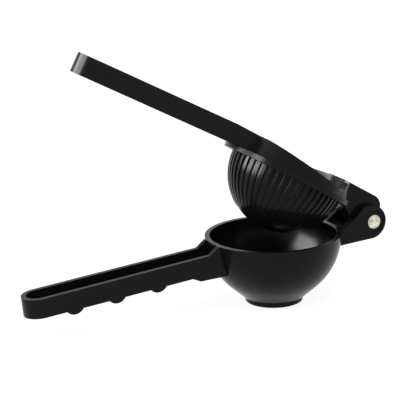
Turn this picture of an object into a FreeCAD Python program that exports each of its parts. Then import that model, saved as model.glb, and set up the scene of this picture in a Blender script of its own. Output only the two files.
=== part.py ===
# Hinged lemon squeezer: two moulded arms that turn on one riveted pin.
# The frame has its origin at the middle of the foot's underside, X towards the hinge,
# Y along the hinge pin and Z up. Both arms are drawn closed, and the upper arm is then
# turned about the pin to the open pose.
import FreeCAD, Part
import math
import os
import Sketcher

# Driving dimensions in millimetres and degrees, each with the cell alias that names it
SIZES = (
    # Bowl and foot of the lower arm
    ("bowl_radius", 37.0),
    ("bowl_wall", 2.6),
    ("belly_radius", 24.0),
    ("foot_lift", 0.6),
    ("foot_height", 2.4),
    ("foot_radius", 15.8),
    ("foot_edge", 1.2),
    ("drain_count", 8),
    ("drain_width", 2.2),
    ("drain_start", 3.6),
    ("drain_end", 10.4),
    # Hinge
    ("hinge_out", 19.5),
    ("hinge_rise", 1.1),
    ("pin_radius", 3.0),
    ("pin_clearance", 0.05),
    ("pin_press", 0.01),
    ("head_radius", 3.95),
    ("head_height", 1.7),
    ("head_edge", 0.5),
    ("tenon_radius", 1.6),
    ("tenon_length", 1.0),
    ("recess_radius", 6.0),
    ("recess_depth", 0.6),
    ("lug_width", 15.4),
    ("ear_gap", 0.3),
    ("ear_thickness", 3.8),
    ("ear_drop", 10.5),
    ("ear_shoulder", 1.0),
    ("knuckle_radius", 9.4),
    ("knuckle_inset", 2.1),
    ("knuckle_lift", 0.1),
    ("ear_top_angle", 30.0),
    ("lug_under_angle", 40.0),
    ("lug_over_angle", 65.0),
    ("open_angle", 31.5),
    # Handles
    ("handle_width", 18.2),
    ("handle_wall", 2.6),
    ("handle_floor", 2.6),
    ("root_bite", 6.5),
    ("lower_length", 107.5),
    ("lower_drop", 3.5),
    ("lower_slope", 5.1),
    ("lower_height", 10.3),
    ("ramp_run", 5.0),
    ("root_run", 16.3),
    ("root_step", 4.3),
    ("root_depth", 2.4),
    ("root_fall", 1.0),
    ("nub_count", 3),
    ("nub_pitch", 23.4),
    ("nub_first", 36.0),
    ("nub_length", 9.0),
    ("nub_depth", 2.3),
    ("upper_length", 101.2),
    ("upper_rise", 17.75),
    ("upper_slope", 3.0),
    ("upper_height", 10.5),
    # Press cup, its flange and its wall on the upper arm
    ("cup_gap", 2.4),
    ("cup_wall", 2.4),
    ("cup_lift", 2.5),
    ("rim_gap", 1.2),
    ("flange_overhang", 0.2),
    ("flange_thickness", 2.8),
    ("wall_foot", 1.0),
    ("wall_draft", 1.2),
    ("wall_back_inset", 4.5),
    ("wall_back_height", 13.55),
    ("wall_bend_inset", 18.5),
    ("wall_bend_height", 11.45),
    ("wall_low_inset", 12.5),
    ("wall_low_height", 7.0),
    ("wall_step", 3.6),
    ("wall_step_radius", 3.6),
    ("neck_shift", 7.2),
    ("neck_foot", 12.4),
    ("neck_slope", 9.0),
    ("neck_top", 14.1),
    ("neck_corner_radius", 7.0),
    ("neck_corner_back", 5.0),
    ("rib_count", 48),
    ("rib_height", 1.1),
    ("rib_fade", 0.95),
    ("rib_width", 1.9),
    ("rib_space", 0.3),
)

# Places that several sketches share, worked out from the cells
RIM_Z = "(dim.bowl_radius + dim.foot_lift)"
HINGE_X = "(dim.bowl_radius + dim.hinge_out)"
HINGE_Z = f"({RIM_Z} + dim.hinge_rise)"
EAR_FACE = "(dim.lug_width / 2 + dim.ear_gap + dim.ear_thickness)"
SLOT_HALF = "(dim.lug_width / 2 + dim.ear_gap)"
SEAT = "(dim.lug_width / 2 + dim.ear_gap + dim.ear_thickness - dim.recess_depth)"
KNUCKLE_X = f"({HINGE_X} - dim.knuckle_inset)"
KNUCKLE_Z = f"({HINGE_Z} + dim.knuckle_lift)"
BOWL_INSIDE = "(dim.bowl_radius - dim.bowl_wall)"
CUP_RADIUS = f"({BOWL_INSIDE} - dim.cup_gap)"
CUP_INSIDE = f"({CUP_RADIUS} - dim.cup_wall)"
CUP_CENTRE_Z = f"({RIM_Z} + dim.cup_lift)"
LEDGE_Z = f"({RIM_Z} + dim.rim_gap)"
FLANGE_RADIUS = "(dim.bowl_radius + dim.flange_overhang)"
WALL_RADIUS = f"({CUP_RADIUS} + dim.wall_foot)"
WALL_BACK_X = f"({CUP_RADIUS} - dim.wall_back_inset)"
HALF_WIDTH = "(dim.handle_width / 2)"
CHANNEL_HALF = "(dim.handle_width / 2 - dim.handle_wall)"
HANDLE_ROOT = "(dim.bowl_radius - dim.root_bite)"
LOWER_REACH = "(dim.bowl_radius + dim.lower_length)"
UPPER_REACH = f"({HINGE_X} + dim.bowl_radius + dim.upper_length)"

document = FreeCAD.newDocument("lemon_squeezer")
sheet = document.addObject("Spreadsheet::Sheet", "dim")
for row, (alias, size) in enumerate(SIZES, start=1):
    sheet.set(f"A{row}", alias)
    sheet.set(f"B{row}", str(size))
    sheet.setAlias(f"B{row}", alias)
document.recompute()


def value(expression):
    """The number that an expression over the cells gives now."""
    result = sheet.evalExpression(str(expression))
    return float(getattr(result, "Value", result))


def new_body(label):
    body = document.addObject("PartDesign::Body", label)
    body.Label = label
    return body


def new_sketch(body, name, role, shift=("0", "0", "0"), tilt=None):
    """A sketch on one of the body's own planes, moved and turned by tilt = (axis, angle)."""
    plane = next(f for f in body.Origin.OriginFeatures if f.Role == role)
    sketch = body.newObject("Sketcher::SketchObject", name)
    sketch.AttachmentSupport = [(plane, "")]
    sketch.MapMode = "FlatFace"
    turn = FreeCAD.Rotation()
    if tilt:
        turn = FreeCAD.Rotation(FreeCAD.Vector(*tilt[0]), value(tilt[1]))
    sketch.AttachmentOffset = FreeCAD.Placement(FreeCAD.Vector(*[value(part) for part in shift]), turn)
    for letter, part in zip("xyz", shift):
        if part != "0":
            sketch.setExpression(f"AttachmentOffset.Base.{letter}", part)
    if tilt:
        sketch.setExpression("AttachmentOffset.Rotation.Angle", tilt[1])
    return sketch


def tie(sketch, kind, arguments, expression):
    """One dimension of a sketch, bound to the sheet."""
    index = sketch.addConstraint(Sketcher.Constraint(kind, *arguments, value(expression)))
    sketch.setExpression(f"Constraints[{index}]", expression)


def arc_between(start, end, radius, side):
    """The short arc that bulges left (1) or right (-1) of the way from start to end."""
    chord = end - start
    left = FreeCAD.Vector(-chord.y, chord.x, 0).normalize()
    depth = math.sqrt(max(radius ** 2 - chord.Length ** 2 / 4, 0))
    centre = (start + end) / 2 - left * side * depth
    first, last = (end, start) if side > 0 else (start, end)
    angles = [math.atan2(p.y - centre.y, p.x - centre.x) for p in (first, last)]
    return Part.ArcOfCircle(Part.Circle(centre, FreeCAD.Vector(0, 0, 1), radius), *angles)


def draw_outline(sketch, corners):
    """A closed outline. Each corner is (x, y), or (x, y, radius, side) where an arc leaves it."""
    points = [FreeCAD.Vector(value(corner[0]), value(corner[1]), 0) for corner in corners]
    starts = []
    for index, corner in enumerate(corners):
        start, end = points[index], points[(index + 1) % len(points)]
        if len(corner) == 2:
            sketch.addGeometry(Part.LineSegment(start, end))
            starts.append((index, 1, 2))
            continue
        sketch.addGeometry(arc_between(start, end, value(corner[2]), corner[3]))
        starts.append((index, 2, 1) if corner[3] > 0 else (index, 1, 2))
    for index, corner in enumerate(corners):
        edge, first, _ = starts[index]
        before, _, last = starts[index - 1]
        sketch.addConstraint(Sketcher.Constraint("Coincident", before, last, edge, first))
        for kind, axis, place in (("DistanceX", -2, corner[0]), ("DistanceY", -1, corner[1])):
            if place == "0":
                sketch.addConstraint(Sketcher.Constraint("PointOnObject", edge, first, axis))
            else:
                tie(sketch, kind, (-1, 1, edge, first), place)
        if len(corner) > 2:
            tie(sketch, "Radius", (edge,), corner[2])
    return sketch


def draw_circle(sketch, x, y, radius):
    middle = FreeCAD.Vector(value(x), value(y), 0)
    sketch.addGeometry(Part.Circle(middle, FreeCAD.Vector(0, 0, 1), value(radius)))
    tie(sketch, "DistanceX", (-1, 1, 0, 3), x)
    tie(sketch, "DistanceY", (-1, 1, 0, 3), y)
    tie(sketch, "Radius", (0,), radius)
    return sketch


def add_feature(body, kind, sketch, length=None, symmetric=False, reverse=False, angle=None):
    """A pad, pocket, revolution or groove of a sketch. It stops if the feature changes no volume."""
    document.recompute()
    before = body.Shape.Volume if body.Shape and not body.Shape.isNull() else 0.0
    feature = body.newObject(f"PartDesign::{kind}", f"{kind}_{sketch.Name}")
    feature.Profile = sketch
    feature.Reversed = reverse
    if kind in ("Revolution", "Groove"):
        feature.ReferenceAxis = (sketch, ["V_Axis"])
        feature.Midplane = symmetric
        feature.Angle = 360
        if angle:
            feature.setExpression("Angle", angle)
    else:
        feature.SideType = "Symmetric" if symmetric else "One side"
        if length is None:
            feature.Type = "ThroughAll"
        else:
            feature.setExpression("Length", length)
    sketch.Visibility = False
    document.recompute()
    grows = kind in ("Pad", "Revolution")
    change = body.Shape.Volume - before
    if (change if grows else -change) < 0.01:
        raise RuntimeError(f"{feature.Name} changes the volume by {change:.3f}")
    return feature


def repeat(body, kind, feature, count, **settings):
    """A polar or linear pattern of one feature, which becomes the body's tip."""
    pattern = body.newObject(f"PartDesign::{kind}", f"{kind}_{feature.Name}")
    pattern.Originals = [feature]
    for name, setting in settings.items():
        setattr(pattern, name, setting)
    pattern.setExpression("Occurrences", count)
    body.Tip = pattern
    return pattern


def handle_outline(sketch, reach, inner_end, half_width):
    """Plan of a handle or of its channel: straight sides and a round tip."""
    bend = f"-{reach} + {half_width}"
    return draw_outline(sketch, (
        (bend, f"-{half_width}"),
        (inner_end, f"-{half_width}"),
        (inner_end, half_width),
        (bend, half_width, half_width, -1),
        (f"-{reach}", "0", half_width, -1),
    ))


def make_lower_arm():
    """Bowl on a flat foot, with a channel handle on one side and two hinge ears on the other."""
    body = new_body("lower_arm")
    top_z = f"{RIM_Z} - dim.lower_drop + dim.bowl_radius * tan(dim.lower_slope)"
    plan_tilt = ((0, 1, 0), "-dim.lower_slope")
    side_tilt = ((0, 0, 1), "dim.lower_slope")

    # Handle, its deeper root and the ramp up to the rim
    plan = new_sketch(body, "lower_handle_plan", "XY_Plane", ("0", "0", top_z), plan_tilt)
    handle_outline(plan, LOWER_REACH, f"-{HANDLE_ROOT}", HALF_WIDTH)
    add_feature(body, "Pad", plan, "dim.lower_height", reverse=True)
    root = new_sketch(body, "lower_handle_root", "XZ_Plane", ("0", top_z, "0"), side_tilt)
    root_x = "-dim.bowl_radius - dim.root_run"
    draw_outline(root, (
        (root_x, "-dim.lower_height"),
        (f"{root_x} + dim.root_step", "-dim.lower_height - dim.root_depth"),
        (f"-{HANDLE_ROOT}", "-dim.lower_height - dim.root_depth - dim.root_fall"),
        (f"-{HANDLE_ROOT}", "-dim.lower_height + dim.handle_floor / 2"),
        (root_x, "-dim.lower_height + dim.handle_floor / 2"),
    ))
    add_feature(body, "Pad", root, "dim.handle_width", symmetric=True)
    ramp = new_sketch(body, "lower_handle_ramp", "XZ_Plane")
    ramp_x = "-dim.bowl_radius - dim.ramp_run"
    ramp_foot = f"{RIM_Z} - dim.lower_drop - dim.ramp_run * tan(dim.lower_slope)"
    draw_outline(ramp, (
        (ramp_x, ramp_foot),
        (ramp_x, f"{ramp_foot} - dim.handle_wall"),
        (f"-{HANDLE_ROOT}", f"{ramp_foot} - dim.handle_wall"),
        (f"-{HANDLE_ROOT}", RIM_Z),
        ("-dim.bowl_radius", RIM_Z),
    ))
    add_feature(body, "Pad", ramp, "dim.handle_width", symmetric=True)
    channel = new_sketch(body, "lower_channel_plan", "XY_Plane", ("0", "0", top_z), plan_tilt)
    handle_outline(channel, f"({LOWER_REACH} - dim.handle_wall)", "0", CHANNEL_HALF)
    add_feature(body, "Pocket", channel, "2 * (dim.lower_height - dim.handle_floor)", symmetric=True)

    # Finger nubs across the underside of the handle
    nub = new_sketch(body, "finger_nub", "XZ_Plane", ("0", top_z, "0"), side_tilt)
    nub_radius = "((dim.nub_length ^ 2 / 4 + dim.nub_depth ^ 2) / (2 * dim.nub_depth))"
    nub_x = "-dim.bowl_radius - dim.nub_first"
    draw_outline(nub, (
        (f"{nub_x} - dim.nub_length / 2", "-dim.lower_height", nub_radius, -1),
        (f"{nub_x} + dim.nub_length / 2", "-dim.lower_height"),
        (f"{nub_x} + dim.nub_length / 2", "-dim.lower_height + dim.handle_floor / 2"),
        (f"{nub_x} - dim.nub_length / 2", "-dim.lower_height + dim.handle_floor / 2"),
    ))
    first_nub = add_feature(body, "Pad", nub, "dim.handle_width", symmetric=True)
    nubs = repeat(body, "LinearPattern", first_nub, "dim.nub_count",
                  Direction=(nub, ["H_Axis"]), Reversed=True)
    nubs.setExpression("Length", "dim.nub_pitch * (dim.nub_count - 1)")

    # Outside of the bowl and of its foot
    belly_z = f"{RIM_Z} - sqrt(dim.bowl_radius ^ 2 - dim.belly_radius ^ 2)"
    bowl = new_sketch(body, "bowl_outside", "XZ_Plane")
    draw_outline(bowl, (
        ("0", "0"),
        ("dim.foot_radius - dim.foot_edge", "0", "dim.foot_edge", -1),
        ("dim.foot_radius", "dim.foot_edge"),
        ("dim.foot_radius", "dim.foot_height"),
        ("dim.belly_radius", belly_z, "dim.bowl_radius", -1),
        ("dim.bowl_radius", RIM_Z),
        ("0", RIM_Z),
    ))
    add_feature(body, "Revolution", bowl)

    # Two ears on the bowl, with the slot for the upper arm's lug between them
    ears = new_sketch(body, "ear_side", "XZ_Plane")
    draw_outline(ears, (
        (BOWL_INSIDE, f"{HINGE_Z} - dim.ear_drop"),
        (KNUCKLE_X, f"{KNUCKLE_Z} - dim.knuckle_radius", "dim.knuckle_radius", -1),
        (f"{KNUCKLE_X} + dim.knuckle_radius", KNUCKLE_Z, "dim.knuckle_radius", -1),
        (KNUCKLE_X, f"{KNUCKLE_Z} + dim.knuckle_radius", "dim.knuckle_radius", -1),
        (f"{KNUCKLE_X} - dim.knuckle_radius * cos(dim.ear_top_angle)",
         f"{KNUCKLE_Z} + dim.knuckle_radius * sin(dim.ear_top_angle)"),
        (f"{FLANGE_RADIUS} + dim.ear_shoulder", RIM_Z),
        (f"{BOWL_INSIDE} - dim.bowl_wall", RIM_Z),
        (f"{BOWL_INSIDE} - dim.bowl_wall", f"{HINGE_Z} - dim.ear_drop"),
    ))
    add_feature(body, "Pad", ears, f"2 * {EAR_FACE}", symmetric=True)
    slot = new_sketch(body, "lug_slot", "XY_Plane")
    slot_end = f"{KNUCKLE_X} + 2 * dim.knuckle_radius"
    draw_outline(slot, (
        ("dim.bowl_radius", f"-{SLOT_HALF}"),
        (slot_end, f"-{SLOT_HALF}"),
        (slot_end, SLOT_HALF),
        ("dim.bowl_radius", SLOT_HALF),
    ))
    add_feature(body, "Pocket", slot, symmetric=True)
    bore = new_sketch(body, "ear_bore", "XZ_Plane")
    draw_circle(bore, HINGE_X, HINGE_Z, "dim.pin_radius + dim.pin_press")
    add_feature(body, "Pocket", bore, symmetric=True)
    for side, sign in (("near", ""), ("far", "-")):
        recess = new_sketch(body, f"{side}_recess", "XZ_Plane", ("0", "0", f"{sign}{EAR_FACE}"))
        draw_circle(recess, HINGE_X, HINGE_Z, "dim.recess_radius")
        add_feature(body, "Pocket", recess, "dim.recess_depth", reverse=side == "far")

    # Hollow of the bowl and the drain slots through its foot
    hollow = new_sketch(body, "bowl_hollow", "XZ_Plane")
    draw_outline(hollow, (
        ("0", f"{RIM_Z} - {BOWL_INSIDE}", BOWL_INSIDE, -1),
        (BOWL_INSIDE, RIM_Z),
        (BOWL_INSIDE, f"{RIM_Z} + dim.lower_drop"),
        ("0", f"{RIM_Z} + dim.lower_drop"),
    ))
    add_feature(body, "Groove", hollow)
    drain = new_sketch(body, "drain_slot", "XY_Plane")
    draw_outline(drain, (
        ("dim.drain_start", "-dim.drain_width / 2"),
        ("dim.drain_end", "-dim.drain_width / 2", "dim.drain_width / 2", -1),
        ("dim.drain_end + dim.drain_width / 2", "0", "dim.drain_width / 2", -1),
        ("dim.drain_end", "dim.drain_width / 2"),
        ("dim.drain_start", "dim.drain_width / 2", "dim.drain_width / 2", -1),
        ("dim.drain_start - dim.drain_width / 2", "0", "dim.drain_width / 2", -1),
    ))
    slit = add_feature(body, "Pocket", drain, f"2 * ({RIM_Z} - {BOWL_INSIDE} / 2)",
                       symmetric=True)
    repeat(body, "PolarPattern", slit, "dim.drain_count", Axis=(drain, ["N_Axis"]))
    return body


def make_upper_arm():
    """Press cup with a flange, a channel handle on one side and the hinge lug on the other."""
    body = new_body("upper_arm")
    valley_radius = f"({CUP_RADIUS} - dim.rib_height)"
    valley_centre_z = f"({CUP_CENTRE_Z} - dim.rib_fade)"
    valley_ledge = f"sqrt({valley_radius} ^ 2 - ({valley_centre_z} - {LEDGE_Z}) ^ 2)"
    neck_z = f"({RIM_Z} + dim.neck_top)"
    flange_top = f"{LEDGE_Z} + dim.flange_thickness"

    # Outside of the cup in the valleys of its ribs, which fade downwards, its flange and its wall
    cup = new_sketch(body, "cup_outside", "XZ_Plane")
    draw_outline(cup, (
        ("0", f"{valley_centre_z} - {valley_radius}", valley_radius, -1),
        (valley_ledge, LEDGE_Z),
        (FLANGE_RADIUS, LEDGE_Z),
        (FLANGE_RADIUS, flange_top),
        (WALL_RADIUS, flange_top),
        (f"{WALL_RADIUS} - dim.wall_draft", neck_z),
        ("0", neck_z),
    ))
    add_feature(body, "Revolution", cup)

    # Ribs down the outside of the cup, which run a little way up into the flange
    rib_top = "(dim.cup_lift - dim.rim_gap - dim.flange_thickness / 2)"
    rib_end_x = "(dim.rib_count * (dim.rib_width + dim.rib_space) / (2 * pi))"
    root_radius = f"({valley_radius} - dim.cup_wall / 2)"
    rib = new_sketch(body, "cup_rib", "XZ_Plane")
    draw_outline(rib, (
        (rib_end_x, f"{CUP_CENTRE_Z} - sqrt({CUP_RADIUS} ^ 2 - {rib_end_x} ^ 2)", CUP_RADIUS, -1),
        (f"sqrt({CUP_RADIUS} ^ 2 - {rib_top} ^ 2)", f"{CUP_CENTRE_Z} - {rib_top}"),
        (f"sqrt({root_radius} ^ 2 - {rib_top} ^ 2)", f"{CUP_CENTRE_Z} - {rib_top}", root_radius, 1),
        (rib_end_x, f"{CUP_CENTRE_Z} - sqrt({root_radius} ^ 2 - {rib_end_x} ^ 2)"),
    ))
    first_rib = add_feature(body, "Pad", rib, "dim.rib_width", symmetric=True)
    repeat(body, "PolarPattern", first_rib, "dim.rib_count", Axis=(rib, ["V_Axis"]))

    # Neck on the hinge side, where the wall leans out to the edge of the flange
    neck = new_sketch(body, "neck_lean", "XZ_Plane", ("dim.neck_shift", "0", "0"))
    draw_outline(neck, (
        ("0", f"{flange_top} - dim.flange_thickness / 2"),
        ("dim.bowl_radius - dim.neck_shift", f"{flange_top} - dim.flange_thickness / 2"),
        ("dim.bowl_radius - dim.neck_shift", flange_top),
        (f"{WALL_RADIUS} - dim.neck_shift", neck_z),
        ("0", neck_z),
    ))
    add_feature(body, "Revolution", neck)

    # Handle, closed on its top side
    base_x = f"{HINGE_X} - {{0}} * sin(dim.upper_slope)"
    base_z = f"{HINGE_Z} + {{0}} * cos(dim.upper_slope)"
    tilt = ((0, 1, 0), "-dim.upper_slope")
    top_side = "dim.upper_rise"
    plan = new_sketch(body, "upper_handle_plan", "XY_Plane",
                      (base_x.format(top_side), "0", base_z.format(top_side)), tilt)
    handle_outline(plan, UPPER_REACH, f"-({HINGE_X} + {WALL_BACK_X} - dim.handle_wall)", HALF_WIDTH)
    add_feature(body, "Pad", plan, "dim.upper_height", reverse=True)

    # Top edge: level where the handle meets the wall, low beside the cup and up to the hinge lug
    clear_x = f"(2 * {FLANGE_RADIUS})"
    clear_z = f"{neck_z} + dim.cup_wall"
    low_x = f"({CUP_RADIUS} - dim.wall_low_inset)"
    step_x = f"({low_x} + dim.wall_step)"
    top_edge = new_sketch(body, "wall_top_edge", "XZ_Plane")
    draw_outline(top_edge, (
        (f"-{clear_x}", f"{RIM_Z} + dim.wall_back_height"),
        (f"-{WALL_BACK_X}", f"{RIM_Z} + dim.wall_back_height"),
        (f"-{CUP_RADIUS} + dim.wall_bend_inset", f"{RIM_Z} + dim.wall_bend_height"),
        (low_x, f"{RIM_Z} + dim.wall_low_height", "dim.wall_step_radius", -1),
        (step_x, f"{RIM_Z} + dim.wall_low_height + dim.wall_step"),
        (step_x, f"{RIM_Z} + dim.neck_foot"),
        (f"{step_x} + dim.neck_slope", neck_z),
        (f"{step_x} + dim.neck_slope", clear_z),
        (f"-{clear_x}", clear_z),
    ))
    add_feature(body, "Pocket", top_edge, symmetric=True)

    # Hinge lug
    corner_x = f"({HINGE_X} - dim.neck_corner_back)"
    lug = new_sketch(body, "lug_side", "XZ_Plane")
    draw_outline(lug, (
        (f"{CUP_INSIDE} - dim.cup_wall", LEDGE_Z),
        (FLANGE_RADIUS, LEDGE_Z),
        (f"{KNUCKLE_X} - dim.knuckle_radius * cos(dim.lug_under_angle)",
         f"{KNUCKLE_Z} - dim.knuckle_radius * sin(dim.lug_under_angle)", "dim.knuckle_radius", -1),
        (KNUCKLE_X, f"{KNUCKLE_Z} - dim.knuckle_radius", "dim.knuckle_radius", -1),
        (f"{KNUCKLE_X} + dim.knuckle_radius", KNUCKLE_Z, "dim.knuckle_radius", -1),
        (f"{KNUCKLE_X} + dim.knuckle_radius * cos(dim.lug_over_angle)",
         f"{KNUCKLE_Z} + dim.knuckle_radius * sin(dim.lug_over_angle)", "dim.neck_corner_radius", -1),
        (corner_x, neck_z),
        (f"{CUP_INSIDE} - dim.cup_wall", neck_z),
    ))
    add_feature(body, "Pad", lug, "dim.lug_width", symmetric=True)

    # Hollow of the cup, open at the top
    hollow = new_sketch(body, "cup_hollow", "XZ_Plane")
    draw_outline(hollow, (
        ("0", f"{CUP_CENTRE_Z} - {CUP_INSIDE}", CUP_INSIDE, -1),
        (CUP_INSIDE, CUP_CENTRE_Z),
        (CUP_INSIDE, clear_z),
        ("0", clear_z),
    ))
    add_feature(body, "Groove", hollow)

    # Channel in the handle, open on its underside
    roof = "(dim.upper_rise - dim.handle_floor)"
    channel = new_sketch(body, "upper_channel_plan", "XY_Plane",
                         (base_x.format(roof), "0", base_z.format(roof)), tilt)
    handle_outline(channel, f"({UPPER_REACH} - dim.handle_wall)",
                   f"-({HINGE_X} + {WALL_RADIUS} + dim.handle_wall / 2)", CHANNEL_HALF)
    add_feature(body, "Pocket", channel, "dim.upper_height - dim.handle_floor")

    # Bore for the pin
    bore = new_sketch(body, "lug_bore", "XZ_Plane")
    draw_circle(bore, HINGE_X, HINGE_Z, "dim.pin_radius + dim.pin_clearance")
    add_feature(body, "Pocket", bore, symmetric=True)

    # The arm is turned open about the hinge axis
    body.Placement = FreeCAD.Placement(FreeCAD.Vector(), FreeCAD.Rotation(FreeCAD.Vector(0, 1, 0), 1))
    body.setExpression("Placement.Rotation.Angle", "dim.open_angle")
    body.setExpression("Placement.Base.x",
                       f"{HINGE_X} * (1 - cos(dim.open_angle)) - {HINGE_Z} * sin(dim.open_angle)")
    body.setExpression("Placement.Base.z",
                       f"{HINGE_Z} * (1 - cos(dim.open_angle)) + {HINGE_X} * sin(dim.open_angle)")
    return body


def place_on_hinge(body):
    body.setExpression("Placement.Base.x", HINGE_X)
    body.setExpression("Placement.Base.z", HINGE_Z)


def domed_end(side):
    """Corners of a low round head outside the ear's recess, from its edge to its crown."""
    crown = f"{side}({SEAT} + dim.head_height)"
    edge = f"{side}({SEAT} + dim.head_edge)"
    rise = "(dim.head_height - dim.head_edge)"
    radius = f"((dim.head_radius ^ 2 + {rise} ^ 2) / (2 * {rise}))"
    return edge, crown, radius


def make_hinge_pin():
    """Steel rivet: a round head in the near recess, the shank and a thin end for the cap."""
    body = new_body("hinge_pin")
    edge, crown, radius = domed_end("-")
    profile = new_sketch(body, "pin_profile", "XY_Plane")
    draw_outline(profile, (
        ("0", crown, radius, -1),
        ("dim.head_radius", edge),
        ("dim.head_radius", f"-{SEAT}"),
        ("dim.pin_radius", f"-{SEAT}"),
        ("dim.pin_radius", SEAT),
        ("dim.tenon_radius", SEAT),
        ("dim.tenon_radius", f"{SEAT} + dim.tenon_length"),
        ("0", f"{SEAT} + dim.tenon_length"),
    ))
    add_feature(body, "Revolution", profile)
    place_on_hinge(body)
    return body


def make_pin_cap():
    """Steel cap that is pressed on the pin's thin end in the far recess."""
    body = new_body("pin_cap")
    edge, crown, radius = domed_end("")
    bore_radius = "(dim.tenon_radius + dim.pin_press)"
    bore_end = f"{SEAT} + dim.tenon_length"
    profile = new_sketch(body, "cap_profile", "XY_Plane")
    draw_outline(profile, (
        (bore_radius, SEAT),
        ("dim.head_radius", SEAT),
        ("dim.head_radius", edge, radius, -1),
        ("0", crown),
        ("0", bore_end),
        (bore_radius, bore_end),
    ))
    add_feature(body, "Revolution", profile)
    place_on_hinge(body)
    return body


bodies = [make_lower_arm(), make_upper_arm(), make_hinge_pin(), make_pin_cap()]
document.recompute()

for item in document.Objects:
    if "Invalid" in item.State or "Error" in item.State:
        raise RuntimeError(f"{item.Name} is {item.State}: {item.getStatusString()}")
os.makedirs("parts", exist_ok=True)
for body in bodies:
    shape = body.Shape
    if shape.isNull() or not shape.isValid() or len(shape.Solids) != 1:
        raise RuntimeError(f"{body.Label} isn't one valid solid")
    shape.exportStep(f"parts/{body.Label}.step")
    centre = shape.CenterOfGravity
    place = " ".join(f"{number:.1f}" for number in centre)
    print(f"{body.Label}: {shape.Volume / 1000:.2f} cm3, centre {place}")
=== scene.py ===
import math

import bpy
from mathutils import Matrix, Vector

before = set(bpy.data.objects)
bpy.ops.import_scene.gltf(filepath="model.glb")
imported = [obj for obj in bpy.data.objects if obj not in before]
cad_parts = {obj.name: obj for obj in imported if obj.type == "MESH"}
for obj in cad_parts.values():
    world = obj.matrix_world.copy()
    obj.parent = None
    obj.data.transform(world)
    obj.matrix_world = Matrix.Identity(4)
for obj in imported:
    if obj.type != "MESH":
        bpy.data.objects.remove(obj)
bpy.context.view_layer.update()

# Camera: where it stands, in metres from the middle of the bowl's rim, and the pixel of the
# picture on which that middle falls. The sensor's width is in millimetres, as Blender has it.
RIM_HEIGHT = 0.0376
PICTURE_SIDE = 415
SENSOR_WIDTH = 36.0
FOCAL_PIXELS = 1662.8
CAMERA_DISTANCE = 0.9
CAMERA_AZIMUTH = math.radians(-27.05)
CAMERA_ELEVATION = math.radians(16.18)
CAMERA_ROLL = math.radians(-1.01)
RIM_CENTRE_PIXEL = (272.9, 233.3)

# Studio: its lights stand round a point, and the floor lies a hair below the foot, so that their
# faces don't coincide. Only a share of the white that the room shows falls on the object as light.
WHITE = (1, 1, 1, 1)
LIGHT_TARGET = Vector((0, 0, 0.06))
LIGHT_DISTANCE = 1.2
ROOM_LIGHT = 0.6
FLOOR_HALF = 3.0
FLOOR_DROP = 0.0001

# Edges: how wide each material's are rounded, and from what angle on an edge is sharp. Before
# that, points that lie this close are welded, and faces that are this flat are joined.
PLASTIC_EDGE = 0.0004
STEEL_EDGE = 0.0002
EDGE_SEGMENTS = 3
SHARP_ANGLE = math.radians(35)
FLAT_ANGLE = math.radians(0.5)
WELD_DISTANCE = 1e-6


def add_camera():
    """The camera looks past the bowl, so that the rim's centre falls on its own pixel."""
    back = Vector((math.sin(CAMERA_AZIMUTH) * math.cos(CAMERA_ELEVATION),
                   -math.cos(CAMERA_AZIMUTH) * math.cos(CAMERA_ELEVATION),
                   math.sin(CAMERA_ELEVATION)))
    level = Vector((math.cos(CAMERA_AZIMUTH), math.sin(CAMERA_AZIMUTH), 0))
    rise = back.cross(level)
    right = level * math.cos(CAMERA_ROLL) + rise * math.sin(CAMERA_ROLL)
    upward = rise * math.cos(CAMERA_ROLL) - level * math.sin(CAMERA_ROLL)
    metres_per_pixel = CAMERA_DISTANCE / FOCAL_PIXELS
    rim_centre = Vector((0, 0, RIM_HEIGHT))
    aim = (rim_centre
           + right * (PICTURE_SIDE / 2 - RIM_CENTRE_PIXEL[0]) * metres_per_pixel
           + upward * (RIM_CENTRE_PIXEL[1] - PICTURE_SIDE / 2) * metres_per_pixel)
    place = rim_centre + back * CAMERA_DISTANCE
    backward = (place - aim).normalized()
    side = upward.cross(backward).normalized()
    top = backward.cross(side)
    data = bpy.data.cameras.new("camera")
    data.sensor_width = SENSOR_WIDTH
    data.lens = FOCAL_PIXELS / PICTURE_SIDE * SENSOR_WIDTH
    camera = bpy.data.objects.new("camera", data)
    camera.matrix_world = Matrix((
        (side.x, top.x, backward.x, place.x),
        (side.y, top.y, backward.y, place.y),
        (side.z, top.z, backward.z, place.z),
        (0, 0, 0, 1),
    ))
    bpy.context.scene.collection.objects.link(camera)
    bpy.context.scene.camera = camera


def node_maker(tree):
    """Functions that add nodes to an emptied tree and join them."""
    tree.nodes.clear()

    def node(kind, **settings):
        """A new node. A setting is the value of the input with its name, or else a property."""
        made = tree.nodes.new(kind)
        for key, setting in settings.items():
            if key in made.inputs:
                made.inputs[key].default_value = setting
            else:
                setattr(made, key, setting)
        return made

    return node, tree.links.new


def new_material(name):
    """An empty material with its output, and functions that add and join its nodes."""
    material = bpy.data.materials.new(name)
    material.use_nodes = True
    node, link = node_maker(material.node_tree)
    return material, node, link, node("ShaderNodeOutputMaterial")


def stretch(node, link, source, low, high):
    """The source's range from 0 to 1, mapped to the range from low to high."""
    mapped = node("ShaderNodeMapRange", **{"To Min": low, "To Max": high})
    link(source, mapped.inputs["Value"])
    return mapped.outputs["Result"]


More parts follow.
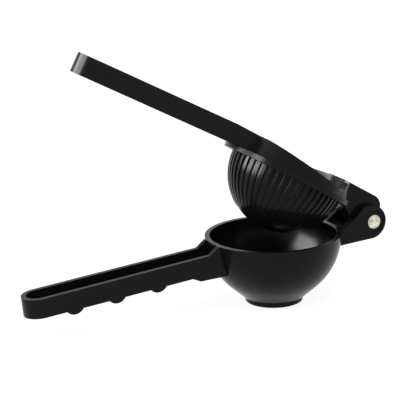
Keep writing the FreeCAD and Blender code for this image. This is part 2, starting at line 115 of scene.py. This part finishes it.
def black_plastic():
    """Glossy moulded black: faint cloudy gloss and a fine skin from the mould."""
    material, node, link, output = new_material("black_plastic")
    shader = node("ShaderNodeBsdfPrincipled",
                  **{"Base Color": (0.006, 0.006, 0.0064, 1), "Specular IOR Level": 0.1})
    place = node("ShaderNodeTexCoord")
    clouds = node("ShaderNodeTexNoise", Scale=35.0, Detail=3.0, Roughness=0.55)
    link(place.outputs["Object"], clouds.inputs["Vector"])
    gloss = stretch(node, link, clouds.outputs["Fac"], low=0.16, high=0.3)
    link(gloss, shader.inputs["Roughness"])
    skin = node("ShaderNodeTexNoise", Scale=900.0, Detail=2.0)
    link(place.outputs["Object"], skin.inputs["Vector"])
    bump = node("ShaderNodeBump", Strength=0.06, Distance=0.0002)
    link(skin.outputs["Fac"], bump.inputs["Height"])
    link(bump.outputs["Normal"], shader.inputs["Normal"])
    link(shader.outputs["BSDF"], output.inputs["Surface"])
    return material


def pin_steel():
    """Satin steel, slightly warm, dulled in small patches and finely pitted."""
    material, node, link, output = new_material("pin_steel")
    shader = node("ShaderNodeBsdfPrincipled", Metallic=1.0)
    place = node("ShaderNodeTexCoord")
    clouds = node("ShaderNodeTexNoise", Scale=420.0, Detail=3.0)
    link(place.outputs["Object"], clouds.inputs["Vector"])
    patches = node("ShaderNodeMixRGB", Color1=(0.4, 0.37, 0.25, 1), Color2=(0.8, 0.78, 0.66, 1))
    mottle = stretch(node, link, clouds.outputs["Fac"], low=-0.7, high=1.7)
    link(mottle, patches.inputs["Fac"])
    link(patches.outputs["Color"], shader.inputs["Base Color"])
    gloss = stretch(node, link, clouds.outputs["Fac"], low=0.45, high=0.25)
    link(gloss, shader.inputs["Roughness"])
    bump = node("ShaderNodeBump", Strength=0.35, Distance=0.0001)
    link(clouds.outputs["Fac"], bump.inputs["Height"])
    link(bump.outputs["Normal"], shader.inputs["Normal"])
    link(shader.outputs["BSDF"], output.inputs["Surface"])
    return material


def dress(name, material, edge_width):
    """A CAD node gets its material, small rounded edges and even shading."""
    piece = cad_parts[name]
    piece.data.materials.clear()
    piece.data.materials.append(material)
    weld = piece.modifiers.new("weld", "WELD")
    weld.merge_threshold = WELD_DISTANCE
    flat = piece.modifiers.new("flat_faces", "DECIMATE")
    flat.decimate_type = "DISSOLVE"
    flat.angle_limit = FLAT_ANGLE
    bevel = piece.modifiers.new("round_edges", "BEVEL")
    bevel.width = edge_width
    bevel.segments = EDGE_SEGMENTS
    bevel.limit_method = "ANGLE"
    bevel.angle_limit = SHARP_ANGLE
    even = piece.modifiers.new("even_shading", "WEIGHTED_NORMAL")
    even.keep_sharp = True


def area_light(name, azimuth, elevation, size, power):
    """A soft box seen from the target at that azimuth (0 along X, 90 along Y) and elevation."""
    data = bpy.data.lights.new(name, "AREA")
    data.shape = "RECTANGLE"
    data.size, data.size_y = size
    data.energy = power
    light = bpy.data.objects.new(name, data)
    turn, rise = math.radians(azimuth), math.radians(elevation)
    outward = Vector((math.cos(turn) * math.cos(rise),
                      math.sin(turn) * math.cos(rise),
                      math.sin(rise)))
    light.location = LIGHT_TARGET + outward * LIGHT_DISTANCE
    light.rotation_euler = (-outward).to_track_quat("-Z", "Y").to_euler()
    bpy.context.scene.collection.objects.link(light)
    return light


def seen_rays(node, link):
    """1 for what the camera sees, straight, in a reflection or through glass, and 0 for light."""
    path = node("ShaderNodeLightPath")
    total = path.outputs["Is Camera Ray"]
    for name in ("Is Glossy Ray", "Is Transmission Ray"):
        both = node("ShaderNodeMath", operation="ADD", use_clamp=True)
        link(total, both.inputs[0])
        link(path.outputs[name], both.inputs[1])
        total = both.outputs["Value"]
    return total


def add_world():
    """A white studio, which gives less light than it shows."""
    world = bpy.data.worlds.new("studio")
    world.use_nodes = True
    bpy.context.scene.world = world
    node, link = node_maker(world.node_tree)
    output = node("ShaderNodeOutputWorld")
    white = node("ShaderNodeBackground", Color=WHITE, Strength=1.0)
    room = node("ShaderNodeBackground", Color=WHITE, Strength=ROOM_LIGHT)
    mix = node("ShaderNodeMixShader")
    link(seen_rays(node, link), mix.inputs["Fac"])
    link(room.outputs["Background"], mix.inputs[1])
    link(white.outputs["Background"], mix.inputs[2])
    link(mix.outputs["Shader"], output.inputs["Surface"])


def add_floor():
    """A floor that looks white and keeps a faint shadow, and lights the object as a matt one does."""
    mesh = bpy.data.meshes.new("floor")
    corners = [(x * FLOOR_HALF, y * FLOOR_HALF, 0) for x, y in ((-1, -1), (1, -1), (1, 1), (-1, 1))]
    mesh.from_pydata(corners, [], [(0, 1, 2, 3)])
    floor = bpy.data.objects.new("floor", mesh)
    floor.location.z = -FLOOR_DROP
    bpy.context.scene.collection.objects.link(floor)
    material, node, link, output = new_material("floor")
    glow = node("ShaderNodeEmission", Strength=0.9)
    matt = node("ShaderNodeBsdfDiffuse", Color=(0.8, 0.8, 0.8, 1))
    dim = node("ShaderNodeBsdfDiffuse", Color=(0.25, 0.25, 0.25, 1))
    bright = node("ShaderNodeAddShader")
    link(glow.outputs["Emission"], bright.inputs[0])
    link(dim.outputs["BSDF"], bright.inputs[1])
    mix = node("ShaderNodeMixShader")
    link(seen_rays(node, link), mix.inputs["Fac"])
    link(matt.outputs["BSDF"], mix.inputs[1])
    link(bright.outputs["Shader"], mix.inputs[2])
    link(mix.outputs["Shader"], output.inputs["Surface"])
    mesh.materials.append(material)


add_camera()
add_world()
add_floor()

# A soft key light that no reflection shows, and a sheen light that only reflections show
key = area_light("key", azimuth=-135, elevation=55, size=(0.9, 0.9), power=6.0)
key.visible_glossy = False
sheen = area_light("sheen", azimuth=165, elevation=25, size=(1.2, 0.6), power=60.0)
sheen.visible_diffuse = False

plastic = black_plastic()
steel = pin_steel()
for name in ("lower_arm", "upper_arm"):
    dress(name, plastic, PLASTIC_EDGE)
for name in ("hinge_pin", "pin_cap"):
    dress(name, steel, STEEL_EDGE)

bpy.context.scene.view_settings.view_transform = "Standard"
